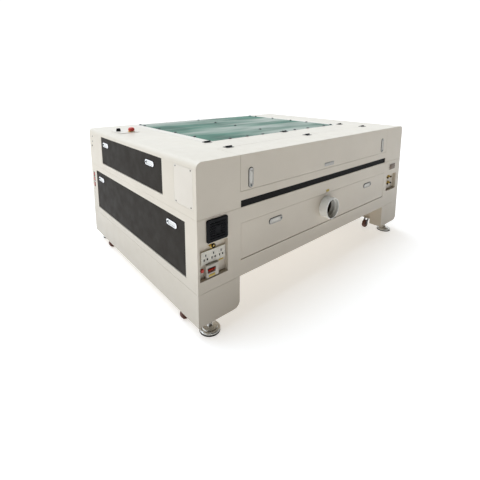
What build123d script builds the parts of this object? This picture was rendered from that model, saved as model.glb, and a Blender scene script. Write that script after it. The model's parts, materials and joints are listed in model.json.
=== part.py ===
from build123d import *
import os

os.makedirs("parts", exist_ok=True)

# Millimetres. +X is the operator's right, -Y the front and +Z up. The pieces are drawn
# about the middle of the cabinet and moved by CENTRING when they are written, so that
# the origin is on the floor under the middle of the whole machine, collar included.

# Cabinet
WIDTH = 2500
DEPTH = 1840
LEG_BOTTOM = 100
PAN_BOTTOM = 311
SEAM = 768
TOP = 1100
SHEET = 3
FRONT_RADIUS = 35
TOP_RADIUS = 40
SEAM_CHAMFER = 1.5
CHAMBER = 930
SLOT_TOP = 813

# Legs, feet and casters
LEG_WIDTH = 315
LEG_DEPTH = 120
LEG_RADIUS = 45
RAIL = 60
RAIL_BOTTOM = 116
FOOT_X = 1130
FOOT_Y = 860
FOOT_RADIUS = 66
WHEEL_RADIUS = 40
WHEEL_WIDTH = 28
WHEEL_Z = 44
TRAIL = 40
CASTERS = {
    "right_back": (1150, 676),
    "right_front": (1150, -610),
    "left_back": (-1062, 706),
    "left_front": (-1062, -610),
}

# Doors
GAP = 2
FRAME_WALL = 8
POCKET_DEPTH = 20
LEDGE = 17
DOOR_DEPTH = 15
PIVOT = 6
PIN_RADIUS = 3
FIT = 0.05

# Locks
LOCK_LENGTH = 125
LOCK_WIDTH = 36
LOCK_HEIGHT = 4
LEVER_LENGTH = 80
LEVER_WIDTH = 22
LEVER_THICKNESS = 4.6
LEVER_PIVOT = -39.7

# Lid and rear cover
LID_HALF = 850
LID_FRONT = -900
LID_BACK = 430
LID_BAYS = ((-750, 20), (80, 750))
COVER_FRONT = 680
COVER_BOTTOM = 871
COVER_DEPTH = 15
LID_AXIS_Y = 431
COVER_AXIS_Y = 679
AXIS_Z = TOP + 6
LID_HINGES = (830, 0, -870)
COVER_HINGES = (830, -10, -888)
LEAF_WIDTH = 56
LEAF_LENGTH = 25

# Motion system
GANTRY_Y = 300
RAIL_X = 890
SHELF_TOP = 866
BEAM_BOTTOM = 900
BEAM_TOP = 960

# Face planes: local x runs to the viewer's right, local y is up
REAR = Plane(origin=(0, DEPTH / 2, 0), x_dir=(-1, 0, 0), z_dir=(0, 1, 0))
RIGHT = Plane(origin=(WIDTH / 2, 0, 0), x_dir=(0, 1, 0), z_dir=(1, 0, 0))
LEFT = Plane(origin=(-WIDTH / 2, 0, 0), x_dir=(0, -1, 0), z_dir=(-1, 0, 0))

# Doors: face, centre along the face, centre height, width, height, recess
REAR_DOOR = (REAR, 0, 543, 1850, 242, 1)
RIGHT_UPPER_DOOR = (RIGHT, -22.5, 939.5, 1105, 235, 2)
RIGHT_LOWER_DOOR = (RIGHT, 16.5, 545.5, 1547, 353, 2)
LEFT_LOWER_DOOR = (LEFT, -16.5, 545.5, 1547, 353, 2)

COLLAR_X = 30
COLLAR_Z = 557
COLLAR_END = 989
COLLAR_RADIUS = 85

CENTRING = (FOOT_Y + FOOT_RADIUS - COLLAR_END) / 2


def block(xs, ys, zs, mode=Mode.ADD):
    """Adds or cuts a square-edged block on the active sub-part."""
    middle = (sum(xs) / 2, sum(ys) / 2, sum(zs) / 2)
    with Locations(middle):
        Box(xs[1] - xs[0], ys[1] - ys[0], zs[1] - zs[0], mode=mode)


def parted(solids, axis, place):
    """Parts welded sheets at a plane across an axis: those below it, those above it."""
    middle = 3000
    low, high = [], []
    for solid in solids:
        for kept, side in ((low, -1), (high, 1)):
            centre = axis * (place + side * middle)
            half = Box(2 * middle, 2 * middle, 2 * middle).moved(Location(centre))
            common = solid & half
            if common:
                kept.extend(common.solids())
    return low, high


def face_rectangle(face, inset, x, z, width, height):
    """Draws a rectangle on a face plane moved inwards by inset."""
    with BuildSketch(face.offset(-inset)) as profile:
        with Locations((x, z)):
            Rectangle(width, height)
    return profile.sketch


def recess(face, x, z, width, height, depth, wall=SHEET):
    """Welds a pan behind the active sub-part's sheet and opens its front."""
    pan = face_rectangle(face, SHEET, x, z, width + 2 * wall, height + 2 * wall)
    extrude(pan, amount=-depth)
    mouth = face_rectangle(face, 0, x, z, width, height)
    extrude(mouth, amount=-depth, mode=Mode.SUBTRACT)


def pivot_pins(door, radius, mode=Mode.ADD):
    """Adds or cuts the two dowels that a bottom-hung door turns on."""
    face, x, z, width, height, inset = door
    length = GAP + FRAME_WALL + SHEET - 0.2
    for end in (-1, 1):
        reach = x + end * (width / 2 - SHEET + 0.2)
        start = face.from_local_coords((reach, z - height / 2 + PIVOT, -inset - PIVOT))
        with Locations(Plane(origin=start, x_dir=face.z_dir, z_dir=face.x_dir * end)):
            Cylinder(radius, length, align=(Align.CENTER, Align.CENTER, Align.MIN), mode=mode)


def door_frame(door):
    """Makes a door's sunk frame with its window and dowel holes."""
    face, x, z, width, height, inset = door
    recess(face, x, z, width + 2 * GAP, height + 2 * GAP, POCKET_DEPTH, FRAME_WALL)
    window = face_rectangle(face, 0, x, z, width - 2 * LEDGE, height - 2 * LEDGE)
    extrude(window, amount=-POCKET_DEPTH - SHEET - 1, mode=Mode.SUBTRACT)
    pivot_pins(door, PIN_RADIUS, Mode.SUBTRACT)


def door_panel(door):
    """A shallow pan with its lower front edge rounded about the pivot."""
    face, x, z, width, height, inset = door
    outward = Axis((0, 0, 0), face.z_dir)
    along = Axis((0, 0, 0), face.x_dir)
    with BuildPart() as panel:
        extrude(face_rectangle(face, inset, x, z, width, height), amount=-DOOR_DEPTH)
        lower_edges = panel.edges().filter_by(along).group_by(Axis.Z)[0]
        fillet(lower_edges.sort_by(outward)[-1], PIVOT)
        inside = face_rectangle(face, inset + SHEET, x, z, width - 2 * SHEET, height - 2 * SHEET)
        extrude(inside, amount=-DOOR_DEPTH, mode=Mode.SUBTRACT)
        pivot_pins(door, PIN_RADIUS + FIT, Mode.SUBTRACT)
    return panel.part


def lock_plane(face, x, z, inset, turn):
    """The plane of a lock: its local x points to the key button."""
    origin = face.from_local_coords((x, z, -inset))
    x_dir = face.x_dir.rotate(Axis((0, 0, 0), face.z_dir), turn)
    return Plane(origin=origin, x_dir=x_dir, z_dir=face.z_dir)


def lever_pivot(plane, half_length):
    """The plane at one end of a lever's pivot, looking along it."""
    start = plane.from_local_coords((LEVER_PIVOT, -half_length, 1.4))
    return Plane(origin=start, x_dir=plane.x_dir, z_dir=plane.y_dir)


def lock_plate(plane):
    """Raises a lock plate with its lever recess and key button on a door."""
    with BuildSketch(plane) as pill:
        SlotOverall(LOCK_LENGTH, LOCK_WIDTH)
    extrude(pill.sketch, amount=LOCK_HEIGHT)
    with BuildSketch(plane.offset(LOCK_HEIGHT)) as cut:
        with Locations((-2, 0)):
            Rectangle(LEVER_LENGTH + 2, LEVER_WIDTH + 2)
    extrude(cut.sketch, amount=-LOCK_HEIGHT - 1.2, mode=Mode.SUBTRACT)
    with BuildSketch(plane.offset(LOCK_HEIGHT)) as key:
        with Locations((50, 0)):
            Circle(6)
    extrude(key.sketch, amount=1.5)
    with Locations(lever_pivot(plane, LEVER_WIDTH / 2 + 2.4)):
        Cylinder(
            1.5 + FIT,
            LEVER_WIDTH + 4.8,
            align=(Align.CENTER, Align.CENTER, Align.MIN),
            mode=Mode.SUBTRACT,
        )


def lock_lever(plane):
    """A flat lever with pivot stubs, lying in a lock plate's recess."""
    across = Axis((0, 0, 0), plane.y_dir)
    with BuildPart() as lever:
        with BuildSketch(plane.offset(-0.9)) as outline:
            with Locations((-2, 0)):
                Rectangle(LEVER_LENGTH, LEVER_WIDTH)
            fillet(outline.vertices().group_by(Axis.X)[-1], 8)
        extrude(amount=LEVER_THICKNESS)
        pivot_edges = lever.edges().filter_by(across).sort_by(Axis(plane.origin, plane.x_dir))[:2]
        fillet(pivot_edges, 2.25)
        with Locations(lever_pivot(plane, LEVER_WIDTH / 2 + 2.2)):
            Cylinder(
                1.5,
                LEVER_WIDTH + 4.4,
                align=(Align.CENTER, Align.CENTER, Align.MIN),
            )
    return lever.part


# Locks, by the door or cover that carries them
RIGHT_UPPER_LOCKS = [lock_plane(RIGHT, y, 998, 2, 180) for y in (-470, 360)]
RIGHT_LOWER_LOCKS = [lock_plane(RIGHT, y, 662, 2, 180) for y in (-628, 635)]
LEFT_LOWER_LOCKS = [lock_plane(LEFT, y, 662, 2, 0) for y in (-635, 628)]
REAR_LOCKS = [lock_plane(REAR, x, 604, 1, 0) for x in (-610, 610)]
COVER_LOCKS = [lock_plane(REAR, x, 946, 0, -90) for x in (-845, 845)]


def body_outline(inset):
    """The cabinet's plan: square at the back, rounded at the front."""
    with BuildSketch() as plan:
        Rectangle(WIDTH - 2 * inset, DEPTH - 2 * inset)
        fillet(plan.vertices().group_by(Axis.Y)[0], FRONT_RADIUS - inset)
    return plan.sketch


def hood(inset):
    """The solid of the upper cabinet, drawn in on every side but the bottom."""
    with BuildPart() as solid:
        with BuildSketch(Plane.XZ.offset(inset - DEPTH / 2)) as section:
            with Locations((0, (SEAM + TOP - inset) / 2)):
                Rectangle(WIDTH - 2 * inset, TOP - SEAM - inset)
            fillet(section.vertices().group_by(Axis.Y)[-1], TOP_RADIUS - inset)
        extrude(amount=DEPTH - 2 * inset)
        with BuildSketch(Plane.XY.offset(SEAM)):
            add(body_outline(inset))
        extrude(amount=TOP - SEAM, mode=Mode.INTERSECT)
    return solid.part


def leg(low, y_low, inset):
    """One leg's solid, drawn in by inset, with the edge under its -X side round."""
    base = LEG_BOTTOM + 2 * inset
    with BuildPart() as solid:
        with BuildSketch(Plane.XZ.offset(inset - y_low - LEG_DEPTH)) as profile:
            with Locations((low + LEG_WIDTH / 2, (base + PAN_BOTTOM) / 2)):
                Rectangle(LEG_WIDTH - 2 * inset, PAN_BOTTOM - base)
            corner = profile.vertices().group_by(Axis.Y)[0].sort_by(Axis.X)[0]
            fillet(corner, LEG_RADIUS - inset)
        extrude(amount=LEG_DEPTH - 2 * inset)
        with BuildSketch(Plane.XY.offset(base)):
            add(body_outline(inset))
        extrude(amount=PAN_BOTTOM - base, mode=Mode.INTERSECT)
    return solid.part


def skirt_section(side, inset):
    """The corner that a side skirt is folded round, drawn in by inset."""
    edge = side * (WIDTH / 2 - inset)
    with BuildSketch() as section:
        with Locations((edge - side * 30, (LEG_BOTTOM + inset + PAN_BOTTOM) / 2)):
            Rectangle(60, PAN_BOTTOM - LEG_BOTTOM - inset)
        if side < 0:
            corner = section.vertices().group_by(Axis.Y)[0].sort_by(Axis.X)[0]
            fillet(corner, LEG_RADIUS - inset)
    return section.sketch


def stand(side):
    """Two hollow legs with the skirt, caster rail and caster plates between them."""
    low = WIDTH / 2 - LEG_WIDTH if side > 0 else -WIDTH / 2
    end = "right" if side > 0 else "left"
    mounts = [CASTERS[end + "_back"], CASTERS[end + "_front"]]
    starts = (-DEPTH / 2, DEPTH / 2 - LEG_DEPTH)
    solids = [leg(low, y, 0) for y in starts]
    hollows = [leg(low, y, SHEET) for y in starts]
    outer_fold = skirt_section(side, 0)
    inner_fold = skirt_section(side, SHEET)
    span = DEPTH - 2 * LEG_DEPTH
    with BuildPart() as frame:
        for solid in solids:
            add(solid)
        for hollow in hollows:
            add(hollow, mode=Mode.SUBTRACT)
        with BuildSketch(Plane.XZ.offset(-span / 2)):
            add(outer_fold)
            add(inner_fold, mode=Mode.SUBTRACT)
        extrude(amount=span)
        with BuildSketch(Plane.XZ.offset(-span / 2)):
            with Locations((mounts[0][0], RAIL_BOTTOM + RAIL / 2)):
                Rectangle(RAIL, RAIL)
                Rectangle(RAIL - 8, RAIL - 8, mode=Mode.SUBTRACT)
        extrude(amount=span)
        for x, y in mounts:
            block((x - 45, x + 45), (y - 50, y + 50), (RAIL_BOTTOM - 4, RAIL_BOTTOM))
            with Locations((x, y, RAIL_BOTTOM - 4)):
                Cylinder(8, 12.4, align=(Align.CENTER, Align.CENTER, Align.MAX))
            with Locations((x, y, 95)):
                Cylinder(12, 4.6, align=(Align.CENTER, Align.CENTER, Align.MIN))
        with Locations((side * FOOT_X, FOOT_Y, LEG_BOTTOM), (side * FOOT_X, -FOOT_Y, LEG_BOTTOM)):
            Cylinder(10.2, 20, mode=Mode.SUBTRACT)
    return frame


right_stand = stand(1)
left_stand = stand(-1)

FEET = [(x, y) for x in (-FOOT_X, FOOT_X) for y in (-FOOT_Y, FOOT_Y)]

# Dished steel feet on threaded studs, with their lock nuts
with BuildPart() as foot:
    with BuildSketch(Plane.XZ):
        with BuildLine():
            Polyline(
                (0, 9),
                (64, 9),
                (66, 12),
                (66, 17),
                (60, 21),
                (50, 22),
                (46, 27),
                (20, 34),
                (14, 44),
                (14, 56),
                (10, 58),
                (10, 130),
                (0, 130),
                (0, 9),
            )
        make_face()
    revolve(axis=Axis.Z)
    with BuildSketch(Plane.XY.offset(84)):
        RegularPolygon(15, 6, major_radius=False)
    extrude(amount=LEG_BOTTOM - 84)

with BuildPart() as levelling_feet:
    with Locations(*FEET):
        add(foot.part)

with BuildPart() as foot_pads:
    with Locations(*FEET):
        Cylinder(FOOT_RADIUS, 9, align=(Align.CENTER, Align.CENTER, Align.MIN))


def caster_fork(x, y):
    """A swivel fork that trails to +X, with its axle."""
    with BuildPart() as fork:
        with BuildSketch(Plane.XY.offset(LEG_BOTTOM)):
            Circle(26)
        extrude(amount=8)
        for offset_y in (-16 - SHEET, 16):
            with BuildSketch(Plane.XZ.offset(-offset_y - SHEET)):
                with Locations((0, LEG_BOTTOM + 4)):
                    Rectangle(40, 8)
                with Locations((TRAIL, WHEEL_Z)):
                    Circle(12)
                make_hull()
            extrude(amount=SHEET)
        Cylinder(8 + FIT, 400, mode=Mode.SUBTRACT)
        with Locations((TRAIL, 0, WHEEL_Z)):
            Cylinder(6, 2 * (16 + SHEET), rotation=(90, 0, 0))
        with Locations((TRAIL, 21, WHEEL_Z), (TRAIL, -21, WHEEL_Z)):
            Cylinder(9, 4, rotation=(90, 0, 0))
    return fork.part.moved(Location((x, y, 0)))


def caster_wheel(x, y):
    """A wheel with a dished web, bored to run on the fork's axle."""
    with BuildPart() as wheel:
        with BuildSketch(Plane.XY):
            with BuildLine():
                Polyline(
                    (6 + FIT, -13),
                    (26, -10),
                    (31, -WHEEL_WIDTH / 2),
                    (37, -WHEEL_WIDTH / 2),
                    (WHEEL_RADIUS, -10),
                    (WHEEL_RADIUS, 10),
                    (37, WHEEL_WIDTH / 2),
                    (31, WHEEL_WIDTH / 2),
                    (26, 10),
                    (6 + FIT, 13),
                    (6 + FIT, -13),
                )
            make_face()
        revolve(axis=Axis.Y)
    return wheel.part.moved(Location((x + TRAIL, y, WHEEL_Z)))


# Lower cabinet: tray with a rim, partitions, door frames and rear pockets
with BuildPart() as lower_body:
    with BuildSketch(Plane.XY.offset(PAN_BOTTOM)):
        add(body_outline(0))
    extrude(amount=SEAM - PAN_BOTTOM)
    chamfer(lower_body.faces().filter_by(Axis.Z).edges(), SEAM_CHAMFER)
    with BuildSketch(Plane.XY.offset(PAN_BOTTOM + SHEET)):
        add(body_outline(SHEET))
    extrude(amount=SEAM - PAN_BOTTOM - 2 * SHEET, mode=Mode.SUBTRACT)
    with BuildSketch(Plane.XY.offset(SEAM)):
        Rectangle(WIDTH - 60, DEPTH - 60)
    extrude(amount=-2 * SHEET, mode=Mode.SUBTRACT)
    with BuildSketch(Plane.XY.offset(PAN_BOTTOM + 1)):
        with GridLocations(2 * CHAMBER + SHEET, 0, 2, 1):
            Rectangle(SHEET, DEPTH - SHEET)
    extrude(amount=SEAM - PAN_BOTTOM - 1)
    with BuildSketch(Plane.XY.offset(711)):
        with GridLocations(2 * CHAMBER - 25, 0, 2, 1):
            Rectangle(25, 1640)
    extrude(amount=SHEET)
    door_frame(REAR_DOOR)
    door_frame(RIGHT_LOWER_DOOR)
    door_frame(LEFT_LOWER_DOOR)
    recess(REAR, -1132.5, 497, 205, 218, 30)
    recess(REAR, 1085.5, 543.5, 201, 163, 30)
    with BuildSketch(REAR):
        with Locations((-1112, 685)):
            Circle(60)
    extrude(amount=-SHEET - 1, mode=Mode.SUBTRACT)
    with BuildSketch(REAR.offset(-25)):
        with Locations((-1203, 440)):
            Circle(11.4)
    extrude(amount=-10, mode=Mode.SUBTRACT)
    with BuildSketch(RIGHT):
        with Locations((-829, 675), (-829, 627), (-829, 576)):
            Rectangle(27, 34)
        with Locations((-838, 519), (-838, 486), (-838, 437)):
            Circle(7)
    extrude(amount=-SHEET - 1, mode=Mode.SUBTRACT)

outer_hood = hood(0)
inner_hood = hood(SHEET)

# Upper cabinet: rounded hood with the lid opening, the tube tray and the slots
with BuildPart() as upper_body:
    add(outer_hood)
    chamfer(upper_body.faces().sort_by(Axis.Z)[0].edges(), SEAM_CHAMFER)
    add(inner_hood, mode=Mode.SUBTRACT)
    with BuildSketch(Plane.XY.offset(SEAM)):
        add(body_outline(SHEET))
        Rectangle(WIDTH - 60, DEPTH - 60, mode=Mode.SUBTRACT)
    extrude(amount=SHEET)
    for y in (-905, 905):
        block((-CHAMBER + 3, CHAMBER - 3), (y - 20, y + 20), (SEAM - 1, SLOT_TOP), Mode.SUBTRACT)
    with BuildSketch(Plane.YZ.offset(-CHAMBER - SHEET)) as partition:
        with BuildLine():
            Polyline(
                (-918, SEAM),
                (918, SEAM),
                (918, SHELF_TOP + SHEET),
                (COVER_FRONT - 2, SHELF_TOP + SHEET),
                (COVER_FRONT - 2, TOP - 2),
                (-918, TOP - 2),
                (-918, SEAM),
            )
        make_face()
    extrude(amount=SHEET)
    with BuildSketch(Plane.YZ.offset(CHAMBER)):
        add(partition.sketch_local)
    extrude(amount=SHEET)
    ring = Plane.XY.offset(1070)
    lid_middle = (LID_FRONT + LID_BACK) / 2
    lid_span = LID_BACK - LID_FRONT + 2 * GAP
    with BuildSketch(ring):
        with Locations((0, lid_middle)):
            Rectangle(2 * (LID_HALF + GAP + SHEET), lid_span + 2 * SHEET)
            Rectangle(2 * (LID_HALF - 18), lid_span - 40, mode=Mode.SUBTRACT)
    extrude(amount=TOP - 1070)
    with BuildSketch(ring.offset(SHEET)):
        with Locations((0, lid_middle)):
            Rectangle(2 * (LID_HALF + GAP), lid_span)
    extrude(amount=TOP - 1070, mode=Mode.SUBTRACT)
    block((-932, 932), (675, 918), (SHELF_TOP, SHELF_TOP + SHEET))
    block((-932, 932), (675, 678), (SHELF_TOP, TOP - 2))
    block((-932, 932), (678, 921), (SHELF_TOP + SHEET, TOP + 1), Mode.SUBTRACT)
    for low, high, wall in ((917, 932, 932), (-932, -917, -935)):
        block((low, high), (678, 904.7), (SHELF_TOP, 1084.7))
        block((wall, wall + SHEET), (675, 918), (SHELF_TOP, TOP - 1))
    for side in (-1, 1):
        outer_edge = side * CHAMBER
        inner_edge = side * (CHAMBER - 68)
        shelf_x = sorted((outer_edge, inner_edge))
        lip_x = sorted((inner_edge, inner_edge + side * SHEET))
        block(shelf_x, (-880, 650), (SHELF_TOP - 6, SHELF_TOP))
        block(lip_x, (-880, 650), (SHELF_TOP - 20, SHELF_TOP))
    door_frame(RIGHT_UPPER_DOOR)
    recess(RIGHT, 782, 937, 206, 240, 2.5)
    with Locations((1035, -425, TOP)):
        Cylinder(11.4, 20, mode=Mode.SUBTRACT)
    with Locations((1113, -521, TOP)):
        Cylinder(6.4, 20, mode=Mode.SUBTRACT)

# Brush strips behind the rear and front slots
with BuildPart() as slot_brushes:
    for y in (-914.5, 914.5):
        block((-924, 924), (y - 2.5, y + 2.5), (SEAM + 1, 835))

rear_door_panel = door_panel(REAR_DOOR)
with BuildPart() as rear_door:
    add(rear_door_panel)
    for plane in REAR_LOCKS:
        lock_plate(plane)
    with Locations((COLLAR_X, 915, COLLAR_Z)):
        Cylinder(78, 30, rotation=(90, 0, 0), mode=Mode.SUBTRACT)

# Duct collar: a smooth spigot with its mouth rolled inwards and an inner stop ring
with BuildPart() as exhaust_collar:
    with BuildSketch(Plane.XY.offset(COLLAR_Z)):
        with BuildLine():
            Polyline(
                (COLLAR_RADIUS, 919),
                (COLLAR_RADIUS, COLLAR_END - 3),
                (COLLAR_RADIUS - 2, COLLAR_END),
                (79, COLLAR_END),
                (77, COLLAR_END - 3),
                (81, COLLAR_END - 9),
                (81, 958),
                (74, 955),
                (74, 951),
                (81, 948),
                (81, 919),
                (COLLAR_RADIUS, 919),
            )
        make_face()
    revolve(axis=Axis((0, 0, COLLAR_Z), (0, 1, 0)))
exhaust_collar.part = exhaust_collar.part.moved(Location((COLLAR_X, 0, 0)))

right_upper_panel = door_panel(RIGHT_UPPER_DOOR)
with BuildPart() as right_upper_door:
    add(right_upper_panel)
    for plane in RIGHT_UPPER_LOCKS:
        lock_plate(plane)

right_lower_panel = door_panel(RIGHT_LOWER_DOOR)
with BuildPart() as right_lower_door:
    add(right_lower_panel)
    for plane in RIGHT_LOWER_LOCKS:
        lock_plate(plane)

left_lower_panel = door_panel(LEFT_LOWER_DOOR)
with BuildPart() as left_lower_door:
    add(left_lower_panel)
    for plane in LEFT_LOWER_LOCKS:
        lock_plate(plane)

# Rear cover: an angled sheet with a return along every edge
with BuildPart() as rear_cover:
    with BuildSketch(Plane.YZ.offset(-CHAMBER)):
        with BuildLine():
            Polyline(
                (COVER_FRONT, TOP),
                (DEPTH / 2, TOP),
                (DEPTH / 2, COVER_BOTTOM),
                (DEPTH / 2 - COVER_DEPTH, COVER_BOTTOM),
                (DEPTH / 2 - COVER_DEPTH, TOP - COVER_DEPTH),
                (COVER_FRONT, TOP - COVER_DEPTH),
                (COVER_FRONT, TOP),
            )
        make_face()
    extrude(amount=2 * CHAMBER)
    top_edge = rear_cover.edges().filter_by(Axis.X).group_by(Axis.Z)[-1].sort_by(Axis.Y)[-1]
    fillet(top_edge, 3)
    with BuildSketch(Plane.YZ.offset(-CHAMBER + SHEET)):
        with BuildLine():
            Polyline(
                (COVER_FRONT + 3, TOP - 3),
                (DEPTH / 2 - 3, TOP - 3),
                (DEPTH / 2 - 3, COVER_BOTTOM + 3),
                (DEPTH / 2 - 16, COVER_BOTTOM + 3),
                (DEPTH / 2 - 16, TOP - 16),
                (COVER_FRONT + 3, TOP - 16),
                (COVER_FRONT + 3, TOP - 3),
            )
        make_face()
    extrude(amount=2 * (CHAMBER - SHEET), mode=Mode.SUBTRACT)
    for plane in COVER_LOCKS:
        lock_plate(plane)

# Lid: a ring and a cross bar of downward channels, rebated for the sheet
with BuildPart() as lid_frame:
    base = Plane.XY.offset(1073.5)
    with BuildSketch(base):
        with Locations((0, lid_middle)):
            Rectangle(2 * LID_HALF, LID_BACK - LID_FRONT)
        for low, high in LID_BAYS:
            with Locations(((low + high) / 2, -230)):
                Rectangle(high - low, 1220, mode=Mode.SUBTRACT)
    extrude(amount=TOP - 1073.5)
    with BuildSketch(base):
        with Locations((0, lid_middle)):
            Rectangle(2 * LID_HALF - 2 * SHEET, LID_BACK - LID_FRONT - 2 * SHEET)
        for low, high in LID_BAYS:
            with Locations(((low + high) / 2, -230)):
                Rectangle(high - low + 2 * SHEET, 1220 + 2 * SHEET, mode=Mode.SUBTRACT)
    extrude(amount=18.5, mode=Mode.SUBTRACT)
    block((-776, 776), (-863, 425), (1095, TOP + 1), Mode.SUBTRACT)

with BuildPart() as lid_glass:
    block((-775, 775), (-862, 424), (1095, TOP))


def hinge_leaf(spans, radius):
    """A leaf towards +Y with knuckles at the given spans of the hinge axis."""
    half = LEAF_WIDTH / 2
    with BuildPart() as leaf:
        block((-half, half), (5.5, LEAF_LENGTH), (-6, -3))
        for low, high in spans:
            block((low, high), (0, 6), (-6, -3))
            with Locations(((low + high) / 2, 0, 0)):
                Cylinder(5, high - low, rotation=(0, 90, 0))
        Cylinder(radius, LEAF_WIDTH + 2, rotation=(0, 90, 0), mode=Mode.SUBTRACT)
    return leaf.part


fixed_leaf = hinge_leaf(((-28, -14), (14, 28)), PIN_RADIUS)
moving_leaf = hinge_leaf(((-13.7, 13.7),), PIN_RADIUS + FIT)
half_turn = (0, 0, 180)

with BuildPart() as hinge_fixed_leaves:
    with Locations(*[(x, LID_AXIS_Y, AXIS_Z) for x in LID_HINGES]):
        add(fixed_leaf)
    with Locations(*[Location((x, COVER_AXIS_Y, AXIS_Z), half_turn) for x in COVER_HINGES]):
        add(fixed_leaf)

with BuildPart() as lid_hinge_leaves:
    with Locations(*[Location((x, LID_AXIS_Y, AXIS_Z), half_turn) for x in LID_HINGES]):
        add(moving_leaf)

with BuildPart() as rear_hinge_leaves:
    with Locations(*[(x, COVER_AXIS_Y, AXIS_Z) for x in COVER_HINGES]):
        add(moving_leaf)

# Hinge pins of the lid and rear cover, and the dowels of the four doors
with BuildPart() as hinge_pins:
    with Locations(*[(x, LID_AXIS_Y, AXIS_Z) for x in LID_HINGES]):
        Cylinder(PIN_RADIUS, LEAF_WIDTH, rotation=(0, 90, 0))
    with Locations(*[(x, COVER_AXIS_Y, AXIS_Z) for x in COVER_HINGES]):
        Cylinder(PIN_RADIUS, LEAF_WIDTH, rotation=(0, 90, 0))
    for door in (REAR_DOOR, RIGHT_UPPER_DOOR, RIGHT_LOWER_DOOR, LEFT_LOWER_DOOR):
        pivot_pins(door, PIN_RADIUS)

# Controls on the top
with BuildPart() as control_panel:
    with BuildSketch(Plane.XY.offset(TOP)):
        with Locations((1072.5, -477.5)):
            RectangleRounded(175, 215, 6)
        with Locations((1035, -425)):
            Circle(11.4, mode=Mode.SUBTRACT)
        with Locations((1113, -521)):
            Circle(6 + FIT, mode=Mode.SUBTRACT)
    extrude(amount=SHEET)

with BuildPart() as estop_collar:
    with BuildSketch(Plane.XY.offset(TOP + SHEET)):
        with Locations((1035, -425)):
            Circle(30)
            Circle(11.4, mode=Mode.SUBTRACT)
    extrude(amount=SHEET)

with BuildPart() as estop_button:
    with BuildSketch(Plane.XZ):
        with BuildLine():
            Polyline(
                (0, 1090),
                (11, 1090),
                (11, 1112),
                (26, 1112),
                (27, 1114),
                (27, 1127),
                (24, 1134),
                (16, 1139),
                (0, 1142),
                (0, 1090),
            )
        make_face()
    revolve(axis=Axis.Z)
estop_button.part = estop_button.part.moved(Location((1035, -425, 0)))

with BuildPart() as key_switch:
    with Locations((1113, -521, 1103.4)):
        Cylinder(19, 14, align=(Align.CENTER, Align.CENTER, Align.MIN))
        Cylinder(6, 18.4, align=(Align.CENTER, Align.CENTER, Align.MAX))
    rim = key_switch.faces().sort_by(Axis.Z)[-1].edges()
    chamfer(rim, 2)
    block((1097, 1129), (-525, -517), (1117.4, 1128))


def rocker(z):
    """A rocker whose ends are round about its pivot, with pivot stubs."""
    with BuildPart() as key:
        with BuildSketch(Plane.XZ):
            with BuildLine():
                Polyline((-5, -16), (5.8, -16), (3, 0), (5.8, 16), (-5, 16), (-5, -16))
            make_face()
            Circle(14.7, mode=Mode.INTERSECT)
        extrude(amount=10.7, both=True)
        Cylinder(1.5, 25.2, rotation=(90, 0, 0))
    return key.part.moved(Location((1248, -829, z)))


with BuildPart() as rocker_bezels:
    with Locations((WIDTH / 2, -829, 675), (WIDTH / 2, -829, 627), (WIDTH / 2, -829, 576)):
        Box(1.5, 34, 42, align=(Align.MIN, Align.CENTER, Align.CENTER))
        Box(10, 27, 34, align=(Align.MAX, Align.CENTER, Align.CENTER))
        Box(30, 22, 30, mode=Mode.SUBTRACT)
    with Locations((1248, -829, 675), (1248, -829, 627), (1248, -829, 576)):
        Cylinder(1.5 + FIT, 25.8, rotation=(90, 0, 0), mode=Mode.SUBTRACT)

with BuildPart() as pilot_lamps:
    for z in (519, 486, 437):
        with BuildSketch(RIGHT):
            with Locations((-838, z)):
                Circle(9)
        extrude(amount=3)
        with BuildSketch(RIGHT):
            with Locations((-838, z)):
                Circle(7)
        extrude(amount=-12)

# Rear column: fan, sockets, breaker and pipe fittings
with BuildPart() as fan_guard:
    with BuildSketch(REAR):
        with Locations((-1112, 685)):
            RectangleRounded(152, 138, 12)
    extrude(amount=12)
    chamfer(fan_guard.faces().sort_by(Axis.Y)[-1].edges(), 3)
    with BuildSketch(REAR):
        with Locations((-1112, 685)):
            with GridLocations(0, 15, 1, 7):
                Rectangle(112, 7)
            Circle(24, mode=Mode.SUBTRACT)
    extrude(amount=13, mode=Mode.SUBTRACT)
    with BuildSketch(REAR):
        with Locations((-1112, 685)):
            Circle(60)
            Circle(57.5, mode=Mode.SUBTRACT)
    extrude(amount=-35)
    with BuildSketch(REAR):
        with Locations((-1112, 685)):
            Circle(4)
    extrude(amount=-27)

with BuildPart() as fan_rotor:
    with Locations(Plane(origin=(1112, 906, 685), x_dir=(1, 0, 0), z_dir=(0, 1, 0))):
        Cylinder(22, 16)
        with PolarLocations(37, 7):
            Box(36, 2.5, 14, rotation=(35, 0, 0))
        Cylinder(4 + FIT, 20, mode=Mode.SUBTRACT)

with BuildPart() as socket_plate:
    with BuildSketch(REAR.offset(-30)):
        with Locations((-1125, 518)):
            RectangleRounded(178, 80, 5)
    extrude(amount=12)
    with BuildSketch(REAR.offset(-18)):
        with Locations((-1125, 518)):
            with GridLocations(56, 0, 3, 1):
                with Locations((0, 14)):
                    Rectangle(3, 10)
                with Locations(Location((-7, -10), -30), Location((7, -10), 30)):
                    Rectangle(3, 12)
    extrude(amount=-4, mode=Mode.SUBTRACT)

with BuildPart() as breaker:
    block((1098, 1186), (890, 918), (395, 475))
    chamfer(breaker.faces().sort_by(Axis.Y)[-1].edges(), 3)
    block((1127, 1176), (904, 919), (428, 452), Mode.SUBTRACT)
    with Locations((1151.5, 912, 440)):
        Cylinder(2 + FIT, 52.6, rotation=(0, 90, 0), mode=Mode.SUBTRACT)

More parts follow.
